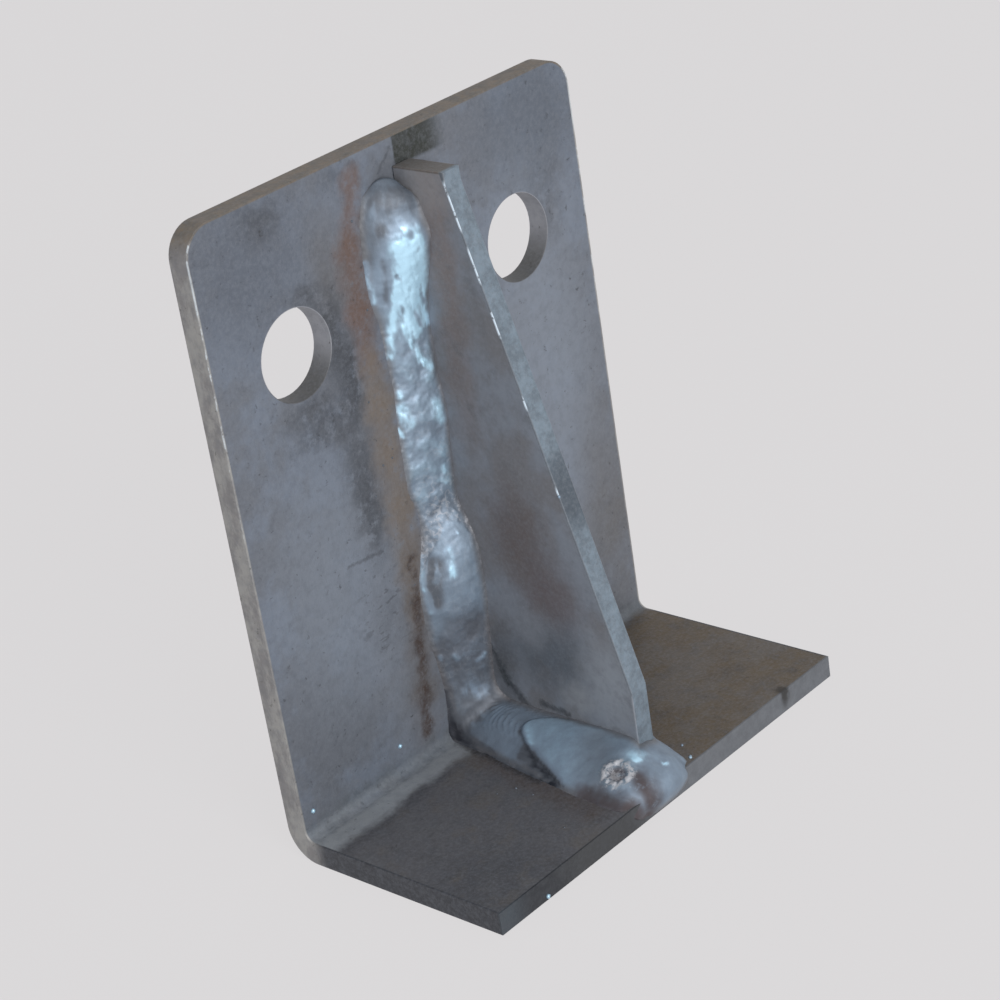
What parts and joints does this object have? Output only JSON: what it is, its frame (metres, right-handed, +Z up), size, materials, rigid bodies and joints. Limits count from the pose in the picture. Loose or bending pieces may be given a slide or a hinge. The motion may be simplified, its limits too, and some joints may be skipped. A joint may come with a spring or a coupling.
{
  "type": "angle bracket",
  "caption": "Welded steel angle bracket: a bent plate with rounded top corners and bolt holes, stiffened by a sloping central gusset.",
  "frame": {"origin": "midway between the two bolt holes, on the face that meets the wall", "axes": "+X along the width, to the right when facing the bracket; +Y into the wall along the bolts; +Z up the upright"},
  "size_m": [0.1, 0.0534, 0.124],
  "materials": {
    "plate": "hot-rolled mill scale, blue-grey, unpainted",
    "gusset": "hot-rolled mill scale with heat tint, unpainted",
    "weld_metal": "as-welded, rippled, bluish"
  },
  "bodies": {
    "root": {"bent_plate": "plate", "gusset": "gusset", "upright_weld_left": "weld_metal", "shelf_weld_left": "weld_metal", "upright_weld_right": "weld_metal", "shelf_weld_right": "weld_metal", "toe_weld": "weld_metal"}
  },
  "joints": []
}
